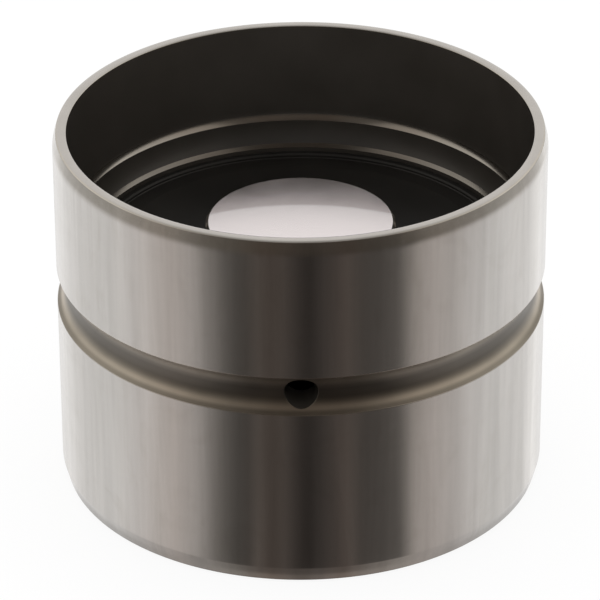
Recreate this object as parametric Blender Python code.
"""Hydraulic bucket valve lifter, built as its nine real pieces.

The lifter stands upside down on its closed cam face, with the open skirt up, as it is handled and stored.
The origin is the middle of the cam face. +Z runs along the axis towards the open skirt.
The oil hole faces -Y. All lengths are in metres.
"""

import math

import bmesh
import bpy
from mathutils import Vector

MM = 0.001

# Facets of every turned piece. Coaxial pieces share it, so their running gaps stay even.
SEGMENTS = 64
# Facets of the small turned pieces that have room around them, and of the drilled oil hole.
SMALL_SEGMENTS = 32
HOLE_SEGMENTS = 24
# Steps along the round stretches of the sections, and points on one turn of each spring.
FILLET_STEPS = 4
RIM_STEPS = 2
GROOVE_STEPS = 8
RING_GROOVE_STEPS = 6
SLOT_END_STEPS = 8
BALL_SEGMENTS = 24
BALL_RINGS = 14
RETURN_SPRING_STEPS = 18
BALL_SPRING_STEPS = 14

# Bucket: outside
BUCKET_DIAMETER = 35.0 * MM
BUCKET_HEIGHT = 26.9 * MM
CAM_EDGE_HEIGHT = 1.15 * MM
CAM_EDGE_DEPTH = 0.3 * MM
LEAD_IN_HEIGHT = 0.9 * MM
LEAD_IN_DEPTH = 0.25 * MM
RIM_WIDTH = 0.75 * MM
RIM_OUTER_ROUND = 0.35 * MM
RIM_INNER_ROUND = 0.28 * MM

# Bucket: inside, from the rim down to the cam wall
SKIRT_TAPER = 0.15 * MM
SHOULDER_DEPTH = 6.85 * MM
SHOULDER_WIDTH = 0.3 * MM
SHOULDER_HEIGHT = 0.74 * MM
POCKET_CURVE_HEIGHT = 1.87 * MM
POCKET_CURVE_WIDTH = 0.79 * MM
WEB_BORE_DEPTH = 1.14 * MM
WEB_SEAT_WIDTH = 0.65 * MM
FLOOR_FILLET = 1.2 * MM
CAM_WALL = 3.2 * MM

# Bucket: oil groove, oil hole and the overflow recess in the floor
OIL_GROOVE_HEIGHT = 2.95 * MM
OIL_GROOVE_DEPTH = 0.7 * MM
OIL_GROOVE_BELOW_WEB = 1.3 * MM
OIL_HOLE_DIAMETER = 2.32 * MM
OIL_HOLE_OFFSET = 0.05 * MM
OVERFLOW_WIDTH = 2.4 * MM
OVERFLOW_DEPTH = 0.4 * MM
OVERFLOW_REACH = 2.2 * MM

# Guide web: one pressed sheet with an upturned flange and a sleeve
SHEET = 0.5 * MM
FLANGE_HEIGHT = 0.8 * MM
FLANGE_EDGE = 0.12 * MM
FLANGE_BEND = 0.15 * MM
WEB_FLAT = 1.3 * MM
WEB_DISH = 0.8 * MM
SLEEVE_BEND = 0.9 * MM

# Inner housing
HOUSING_DIAMETER = 13.6 * MM
HOUSING_PROUD = 2.57 * MM
HOUSING_END_WALL = 2.3 * MM
HOUSING_WALL = 1.7 * MM
HOUSING_EDGE = 0.2 * MM
HOUSING_TRAVEL = 2.4 * MM
TRAVEL_MARGIN = 0.15 * MM
CHAMBER_LENGTH = 7.2 * MM

# Retaining ring
RING_WIRE = 0.9 * MM
RING_HEIGHT = 1.1 * MM
RING_OPEN_FACETS = 4

# Plunger
PLUNGER_WALL = 1.56 * MM
PLUNGER_END_WALL = 1.5 * MM
PLUNGER_EDGE = 0.25 * MM
ORIFICE_DIAMETER = 2.3 * MM
BALL_SEAT_DEPTH = 0.6 * MM

# Check valve
BALL_DIAMETER = 3.5 * MM
CAGE_SHEET = 0.35 * MM
CAGE_ROOM = 0.2 * MM
CAGE_CLEARANCE = 0.2 * MM
CAGE_WINDOWS = 3
CAGE_WINDOW_WIDTH = 1.3 * MM
CAGE_WINDOW_HEIGHT = 1.5 * MM
CAGE_VENT = 0.9 * MM
BALL_SPRING_WIRE = 0.22 * MM
BALL_SPRING_DIAMETER = 1.9 * MM
BALL_SPRING_TURNS = 2.5
BALL_SPRING_RISE = 1.0 * MM

# Return spring
RETURN_SPRING_WIRE = 0.7 * MM
RETURN_SPRING_CLEARANCE = 0.4 * MM
RETURN_SPRING_TURNS = 4.5
CLOSED_TURNS = 0.75

# Clearances
RUNNING_CLEARANCE = 0.04 * MM
SEAT_CLEARANCE = 0.05 * MM
PRESS_CLEARANCE = 0.03 * MM

# Radii and heights that follow from the sizes above
bucket_radius = BUCKET_DIAMETER / 2
mouth_radius = bucket_radius - LEAD_IN_DEPTH - RIM_WIDTH
skirt_foot_radius = mouth_radius - SKIRT_TAPER
pocket_radius = skirt_foot_radius - SHOULDER_WIDTH
web_bore_radius = pocket_radius - POCKET_CURVE_WIDTH
reservoir_radius = web_bore_radius - WEB_SEAT_WIDTH
shoulder_z = BUCKET_HEIGHT - SHOULDER_DEPTH
pocket_z = shoulder_z - SHOULDER_HEIGHT
web_bore_z = pocket_z - POCKET_CURVE_HEIGHT
web_seat_z = web_bore_z - WEB_BORE_DEPTH
groove_z = web_seat_z - OIL_GROOVE_BELOW_WEB
oil_hole_z = groove_z + OIL_HOLE_OFFSET

housing_radius = HOUSING_DIAMETER / 2
housing_bore_radius = housing_radius - HOUSING_WALL
housing_z = CAM_WALL + HOUSING_TRAVEL + TRAVEL_MARGIN
face_z = web_seat_z + SHEET + HOUSING_PROUD
chamber_top_z = face_z - HOUSING_END_WALL
ring_z = housing_z + RING_HEIGHT
ring_radius = housing_radius + SEAT_CLEARANCE
sleeve_radius = housing_radius + RUNNING_CLEARANCE
sleeve_end_z = ring_z + RING_WIRE / 2 + SEAT_CLEARANCE

plunger_radius = housing_bore_radius - RUNNING_CLEARANCE
plunger_bore_radius = plunger_radius - PLUNGER_WALL
plunger_z = CAM_WALL + SEAT_CLEARANCE
plunger_top_z = chamber_top_z - CHAMBER_LENGTH
plunger_length = plunger_top_z - plunger_z

ball_radius = BALL_DIAMETER / 2
seat_apex_z = plunger_top_z - BALL_SEAT_DEPTH - ORIFICE_DIAMETER / 2
ball_z = seat_apex_z + (ball_radius + SEAT_CLEARANCE) * math.sqrt(2)
ball_spring_radius = BALL_SPRING_DIAMETER / 2
ball_spring_reach = ball_radius + SEAT_CLEARANCE + BALL_SPRING_WIRE / 2
ball_spring_z = ball_z + math.sqrt(ball_spring_reach**2 - ball_spring_radius**2)

cage_z = plunger_top_z + SEAT_CLEARANCE
cage_inner_radius = ball_radius + CAGE_ROOM
crown_z = ball_spring_z + BALL_SPRING_RISE + BALL_SPRING_WIRE / 2 + SEAT_CLEARANCE

return_spring_radius = housing_bore_radius - RETURN_SPRING_CLEARANCE - RETURN_SPRING_WIRE / 2
return_spring_z = cage_z + CAGE_SHEET + SEAT_CLEARANCE + RETURN_SPRING_WIRE / 2
return_spring_rise = chamber_top_z - SEAT_CLEARANCE - RETURN_SPRING_WIRE / 2 - return_spring_z


def clear_scene():
    """Remove every object, so that the file holds only the lifter."""
    for thing in list(bpy.data.objects):
        bpy.data.objects.remove(thing, do_unlink=True)


def steel(name, colour, roughness, metallic=1.0):
    """Return a Principled material with one colour, roughness and metallic value."""
    material = bpy.data.materials.new(name)
    material.use_nodes = True
    shader = material.node_tree.nodes["Principled BSDF"]
    shader.inputs["Base Color"].default_value = (*colour, 1.0)
    shader.inputs["Roughness"].default_value = roughness
    shader.inputs["Metallic"].default_value = metallic
    return material


def arc(centre, radius, start, end, steps):
    """Return points (r, z) along an arc, with the angles in degrees."""
    points = []
    for step in range(steps + 1):
        angle = math.radians(start + (end - start) * step / steps)
        points.append((centre[0] + radius * math.cos(angle), centre[1] + radius * math.sin(angle)))
    return points


def inward_arc(start, width, height):
    """Return an arc that leaves an upright wall and ends closer to the axis by a width and lower by a height."""
    lean = 2 * math.atan(width / height)
    radius = height / math.sin(lean)
    return arc((start[0] - radius, start[1]), radius, 0, -math.degrees(lean), FILLET_STEPS)


def rounded(before, corner, after, radius, steps=FILLET_STEPS):
    """Return the points that replace a corner by an arc tangent to both of its sides.

    The arc is held inside the shorter side, so a fillet never outgrows its wall.
    """
    corner = Vector(corner)
    to_before = Vector(before) - corner
    to_after = Vector(after) - corner
    half = to_before.angle(to_after) / 2
    reach = min(radius / math.tan(half), 0.95 * to_before.length, 0.95 * to_after.length)
    radius = reach * math.tan(half)
    start = corner + to_before.normalized() * reach
    end = corner + to_after.normalized() * reach
    centre = corner + (to_before.normalized() + to_after.normalized()).normalized() * radius / math.sin(half)
    first = start - centre
    sweep = first.angle_signed(end - centre)
    points = []
    for step in range(steps + 1):
        turn = -sweep * step / steps
        spoke = Vector((
            first.x * math.cos(turn) - first.y * math.sin(turn),
            first.x * math.sin(turn) + first.y * math.cos(turn),
        ))
        points.append(tuple(centre + spoke))
    return points


def add_object(name, data, material, z=0.0):
    """Put a mesh or a curve into the scene at a height on the axis."""
    piece = bpy.data.objects.new(name, data)
    piece.location = (0.0, 0.0, z)
    data.materials.append(material)
    bpy.context.scene.collection.objects.link(piece)
    return piece


def mesh_from(name, shape):
    """Turn a bmesh into a smooth-shaded mesh whose faces point outwards."""
    bmesh.ops.recalc_face_normals(shape, faces=shape.faces)
    mesh = bpy.data.meshes.new(name)
    shape.to_mesh(mesh)
    shape.free()
    mesh.shade_smooth()
    mesh.set_sharp_from_angle(angle=math.radians(28))
    return mesh


def turned(name, outline, material, z=0.0, segments=SEGMENTS, closed=False):
    """Spin an outline of (r, z) points around the axis.

    An open outline starts and ends on the axis. A closed one runs round a ring's section.
    """
    shape = bmesh.new()
    points = [shape.verts.new((r, 0.0, height)) for r, height in outline]
    edges = [shape.edges.new(pair) for pair in zip(points, points[1:])]
    if closed:
        edges.append(shape.edges.new((points[-1], points[0])))
    bmesh.ops.spin(
        shape,
        geom=points + edges,
        cent=(0.0, 0.0, 0.0),
        axis=(0.0, 0.0, 1.0),
        angle=math.tau,
        steps=segments,
        use_merge=True,
    )
    bmesh.ops.remove_doubles(shape, verts=shape.verts, dist=1e-6)
    return add_object(name, mesh_from(name, shape), material, z)


def wire(name, points, diameter, material, z=0.0, resolution=2):
    """Sweep a round wire with capped ends along a list of points."""
    curve = bpy.data.curves.new(name, "CURVE")
    curve.dimensions = "3D"
    curve.bevel_depth = diameter / 2
    curve.bevel_resolution = resolution
    curve.use_fill_caps = True
    spline = curve.splines.new("POLY")
    spline.points.add(len(points) - 1)
    for target, point in zip(spline.points, points):
        target.co = (*point, 1.0)
    return add_object(name, curve, material, z)


def coil(radius, rise, turns, closed_turns, closed_pitch, steps_per_turn):
    """Return points on a helix whose first and last turns lie close together."""
    steps = round(turns * steps_per_turn)
    closed_rise = closed_turns * closed_pitch
    points = []
    for step in range(steps + 1):
        turn = turns * step / steps
        if turn < closed_turns:
            height = turn * closed_pitch
        elif turn > turns - closed_turns:
            height = rise - (turns - turn) * closed_pitch
        else:
            share = (turn - closed_turns) / (turns - 2 * closed_turns)
            height = closed_rise + share * (rise - 2 * closed_rise)
        angle = math.tau * turn
        points.append((radius * math.cos(angle), radius * math.sin(angle), height))
    return points


def cut(piece, cutter):
    """Subtract a cutter from a piece and keep the cutter as a hidden guide."""
    cutter.hide_render = True
    cutter.display_type = "WIRE"
    modifier = piece.modifiers.new(cutter.name, "BOOLEAN")
    modifier.operation = "DIFFERENCE"
    modifier.solver = "EXACT"
    modifier.object = cutter


def drill_cutter(name, diameter, start, end, z, material):
    """Make a cylinder along -Y from one distance off the axis to another."""
    shape = bmesh.new()
    bmesh.ops.create_cone(
        shape,
        cap_ends=True,
        segments=HOLE_SEGMENTS,
        radius1=diameter / 2,
        radius2=diameter / 2,
        depth=end - start,
    )
    cutter = add_object(name, mesh_from(name, shape), material, z)
    cutter.location.y = -(start + end) / 2
    cutter.rotation_euler.x = math.radians(90)
    return cutter


def slot_cutter(name, width, near, far, low, high, material):
    """Make an upright slot with round ends that runs along +Y between two distances from the axis."""
    half = width / 2
    ends = arc((0.0, far - half), half, 0, 180, SLOT_END_STEPS)
    ends += arc((0.0, near + half), half, 180, 360, SLOT_END_STEPS)
    shape = bmesh.new()
    face = shape.faces.new([shape.verts.new((x, y, low)) for x, y in ends])
    lifted = bmesh.ops.extrude_face_region(shape, geom=[face])
    corners = [item for item in lifted["geom"] if isinstance(item, bmesh.types.BMVert)]
    bmesh.ops.translate(shape, verts=corners, vec=(0.0, 0.0, high - low))
    return add_object(name, mesh_from(name, shape), material)


def window_cutter(name, width, low, high, inner, outer, angle, material):
    """Make a box that cuts one window through the cage's wall at an angle round the axis."""
    shape = bmesh.new()
    bmesh.ops.create_cube(shape, size=1.0)
    bmesh.ops.scale(shape, verts=shape.verts, vec=(outer - inner, width, high - low))
    bmesh.ops.translate(shape, verts=shape.verts, vec=((outer + inner) / 2, 0.0, (high + low) / 2))
    cutter = add_object(name, mesh_from(name, shape), material)
    cutter.rotation_euler.z = angle
    return cutter


def bucket_outline():
    """Return the bucket's half section, from the cam face round the outside and down the inside."""
    half_groove = OIL_GROOVE_HEIGHT / 2
    groove_arc = (half_groove**2 + OIL_GROOVE_DEPTH**2) / (2 * OIL_GROOVE_DEPTH)
    groove_centre = (bucket_radius - OIL_GROOVE_DEPTH + groove_arc, groove_z)
    half_sweep = math.degrees(math.asin(half_groove / groove_arc))
    if OIL_GROOVE_DEPTH > groove_arc:
        half_sweep = 180 - half_sweep
    outline = [(0.0, 0.0), (bucket_radius - CAM_EDGE_DEPTH, 0.0), (bucket_radius, CAM_EDGE_HEIGHT)]
    outline += arc(groove_centre, groove_arc, 180 + half_sweep, 180 - half_sweep, GROOVE_STEPS)
    lead_in_foot = (bucket_radius, BUCKET_HEIGHT - LEAD_IN_HEIGHT)
    rim_outer = (bucket_radius - LEAD_IN_DEPTH, BUCKET_HEIGHT)
    rim_inner = (mouth_radius, BUCKET_HEIGHT)
    skirt_foot = (skirt_foot_radius, shoulder_z)
    outline.append(lead_in_foot)
    outline += rounded(lead_in_foot, rim_outer, rim_inner, RIM_OUTER_ROUND, RIM_STEPS)
    outline += rounded(rim_outer, rim_inner, skirt_foot, RIM_INNER_ROUND, RIM_STEPS)
    outline += inward_arc(skirt_foot, SHOULDER_WIDTH, SHOULDER_HEIGHT)[:-1]
    outline += inward_arc((pocket_radius, pocket_z), POCKET_CURVE_WIDTH, POCKET_CURVE_HEIGHT)
    outline += [(web_bore_radius, web_seat_z), (reservoir_radius, web_seat_z)]
    floor_corner = (reservoir_radius, CAM_WALL)
    outline += rounded((reservoir_radius, web_seat_z), floor_corner, (0.0, CAM_WALL), FLOOR_FILLET)
    outline += [(0.0, CAM_WALL)]
    return outline


def make_bucket(material):
    """The one-piece bucket: cam face, skirt, oil groove, oil hole and the seat for the web."""
    bucket = turned("bucket", bucket_outline(), material)
    beyond = RIM_WIDTH
    oil_hole = drill_cutter(
        "oil_hole_cutter",
        OIL_HOLE_DIAMETER,
        reservoir_radius - beyond,
        bucket_radius + beyond,
        oil_hole_z,
        material,
    )
    cut(bucket, oil_hole)
    overflow = slot_cutter(
        "overflow_cutter",
        OVERFLOW_WIDTH,
        plunger_bore_radius - OVERFLOW_REACH,
        housing_radius + OVERFLOW_REACH,
        CAM_WALL - OVERFLOW_DEPTH,
        CAM_WALL + OVERFLOW_DEPTH,
        material,
    )
    cut(bucket, overflow)
    return bucket


def web_outline():
    """Return the guide web's section: down the outside of the sheet, then back up its inside."""
    flange_outer = web_bore_radius - PRESS_CLEARANCE
    flange_inner = flange_outer - SHEET
    seat_z = web_seat_z + SEAT_CLEARANCE
    top_z = seat_z + SHEET
    flange_top_z = seat_z + FLANGE_HEIGHT
    flat_end = flange_inner - WEB_FLAT
    sleeve_outer = sleeve_radius + SHEET

    bevel_foot = (flange_inner, flange_top_z - FLANGE_EDGE)
    outline = [bevel_foot, (flange_inner + FLANGE_EDGE, flange_top_z), (flange_outer, flange_top_z)]
    outer_corner = (flange_outer, seat_z)
    outline += rounded((flange_outer, flange_top_z), outer_corner, (flat_end, seat_z), FLANGE_BEND + SHEET)
    outline += [(flat_end, seat_z)]
    sleeve_corner = (sleeve_outer, seat_z - WEB_DISH)
    outline += rounded((flat_end, seat_z), sleeve_corner, (sleeve_outer, sleeve_end_z), SLEEVE_BEND)
    outline += [(sleeve_outer, sleeve_end_z), (sleeve_radius, sleeve_end_z)]
    mouth_corner = (sleeve_radius, top_z - WEB_DISH)
    outline += rounded((sleeve_radius, sleeve_end_z), mouth_corner, (flat_end, top_z), SLEEVE_BEND + SHEET)
    outline += [(flat_end, top_z)]
    inner_corner = (flange_inner, top_z)
    outline += rounded((flat_end, top_z), inner_corner, bevel_foot, FLANGE_BEND)
    return outline


def make_guide_web(material):
    """The pressed web that closes the oil reservoir and guides the inner housing in its sleeve."""
    return turned("guide_web", web_outline(), material, closed=True)


def make_inner_housing(material):
    """The cup whose closed face bears on the valve stem, with its bore open towards the cam wall."""
    length = face_z - housing_z
    depth = chamber_top_z - housing_z
    groove_radius = RING_WIRE / 2 + RUNNING_CLEARANCE
    ring_line = ring_radius - housing_radius
    groove_sweep = math.degrees(math.acos(ring_line / groove_radius))
    outline = [(0.0, depth), (housing_bore_radius, depth)]
    outline += [(housing_bore_radius, HOUSING_EDGE), (housing_bore_radius + HOUSING_EDGE, 0.0)]
    outline += [(housing_radius - HOUSING_EDGE, 0.0), (housing_radius, HOUSING_EDGE)]
    ring_centre = (ring_radius, RING_HEIGHT)
    outline += arc(ring_centre, groove_radius, 180 + groove_sweep, 180 - groove_sweep, RING_GROOVE_STEPS)
    outline += [(housing_radius, length - HOUSING_EDGE), (housing_radius - HOUSING_EDGE, length)]
    outline += [(0.0, length)]
    return turned("inner_housing", outline, material, housing_z)


def make_plunger(material):
    """The hollow plunger that stands on the cam wall, with the oil orifice and ball seat in its end."""
    inner = plunger_bore_radius
    orifice = ORIFICE_DIAMETER / 2
    roof = plunger_length - PLUNGER_END_WALL
    outline = [
        (inner, 0.0),
        (plunger_radius - PLUNGER_EDGE, 0.0),
        (plunger_radius, PLUNGER_EDGE),
        (plunger_radius, plunger_length - PLUNGER_EDGE),
        (plunger_radius - PLUNGER_EDGE, plunger_length),
        (orifice + BALL_SEAT_DEPTH, plunger_length),
        (orifice, plunger_length - BALL_SEAT_DEPTH),
        (orifice, roof),
        (inner, roof),
    ]
    return turned("plunger", outline, material, plunger_z, closed=True)


def make_check_ball(material):
    """The ball that closes the orifice."""
    shape = bmesh.new()
    bmesh.ops.create_uvsphere(shape, u_segments=BALL_SEGMENTS, v_segments=BALL_RINGS, radius=ball_radius)
    return add_object("check_ball", mesh_from("check_ball", shape), material, ball_z)


def make_ball_cage(material):
    """The stamped cap that keeps the ball over its seat, with windows that let the oil pass."""
    crown = crown_z - cage_z
    vent = CAGE_VENT / 2
    outer = cage_inner_radius + CAGE_SHEET
    flange = housing_bore_radius - CAGE_CLEARANCE
    outline = [
        (cage_inner_radius, 0.0),
        (flange, 0.0),
        (flange, CAGE_SHEET),
        (outer, CAGE_SHEET),
        (outer, crown),
        (outer - CAGE_SHEET, crown + CAGE_SHEET),
        (vent, crown + CAGE_SHEET),
        (vent, crown),
        (cage_inner_radius, crown),
    ]
    cage = turned("ball_cage", outline, material, cage_z, segments=SMALL_SEGMENTS, closed=True)
    low = cage_z + CAGE_SHEET + (crown - CAGE_SHEET - CAGE_WINDOW_HEIGHT) / 2
    for window in range(CAGE_WINDOWS):
        cutter = window_cutter(
            f"cage_window_cutter_{window + 1}",
            CAGE_WINDOW_WIDTH,
            low,
            low + CAGE_WINDOW_HEIGHT,
            cage_inner_radius / 2,
            outer + CAGE_SHEET,
            math.tau * window / CAGE_WINDOWS,
            material,
        )
        cut(cage, cutter)
    return cage


def make_ball_spring(material):
    """The light coil between the ball and the cage's crown."""
    pitch = BALL_SPRING_RISE / BALL_SPRING_TURNS
    points = coil(
        ball_spring_radius, BALL_SPRING_RISE, BALL_SPRING_TURNS, CLOSED_TURNS, pitch, BALL_SPRING_STEPS
    )
    return wire("ball_spring", points, BALL_SPRING_WIRE, material, ball_spring_z, resolution=1)


def make_return_spring(material):
    """The coil that pushes the housing out, from the cage's flange to the chamber's end."""
    closed_pitch = RETURN_SPRING_WIRE + SEAT_CLEARANCE
    points = coil(
        return_spring_radius,
        return_spring_rise,
        RETURN_SPRING_TURNS,
        CLOSED_TURNS,
        closed_pitch,
        RETURN_SPRING_STEPS,
    )
    return wire("return_spring", points, RETURN_SPRING_WIRE, material, return_spring_z)


def make_retaining_ring(material):
    """The open wire ring that stops the housing under the end of the sleeve."""
    points = []
    half_open = RING_OPEN_FACETS // 2
    for facet in range(half_open, SEGMENTS - half_open + 1):
        angle = math.tau * facet / SEGMENTS
        points.append((ring_radius * math.cos(angle), ring_radius * math.sin(angle), 0.0))
    return wire("retaining_ring", points, RING_WIRE, material, ring_z)


def add_body_empty(name, z, pieces):
    """Hang the pieces that move together on one empty, which lies on their joint's axis."""
    holder = bpy.data.objects.new(name, None)
    holder.location = (0.0, 0.0, z)
    bpy.context.scene.collection.objects.link(holder)
    for piece in pieces:
        piece.parent = holder
        piece.location.z -= z


def build():
    """Make every piece of the lifter."""
    clear_scene()
    ground_steel = steel("ground_steel", (0.62, 0.60, 0.57), 0.25)
    oxide_steel = steel("oxide_steel", (0.05, 0.045, 0.04), 0.35, 0.6)
    lapped_steel = steel("lapped_steel", (0.80, 0.78, 0.76), 0.18)
    ball_steel = steel("ball_steel", (0.85, 0.85, 0.86), 0.08)
    cage_steel = steel("cage_steel", (0.50, 0.49, 0.47), 0.35)
    spring_steel = steel("spring_steel", (0.42, 0.41, 0.40), 0.30)

    make_bucket(ground_steel)
    make_guide_web(oxide_steel)
    make_plunger(lapped_steel)
    make_ball_cage(cage_steel)
    make_ball_spring(spring_steel)
    make_return_spring(spring_steel)
    housing = make_inner_housing(lapped_steel)
    ring = make_retaining_ring(spring_steel)
    ball = make_check_ball(ball_steel)
    add_body_empty("housing_slide_axis", housing_z, [housing, ring])
    add_body_empty("ball_lift_axis", ball_z, [ball])


build()
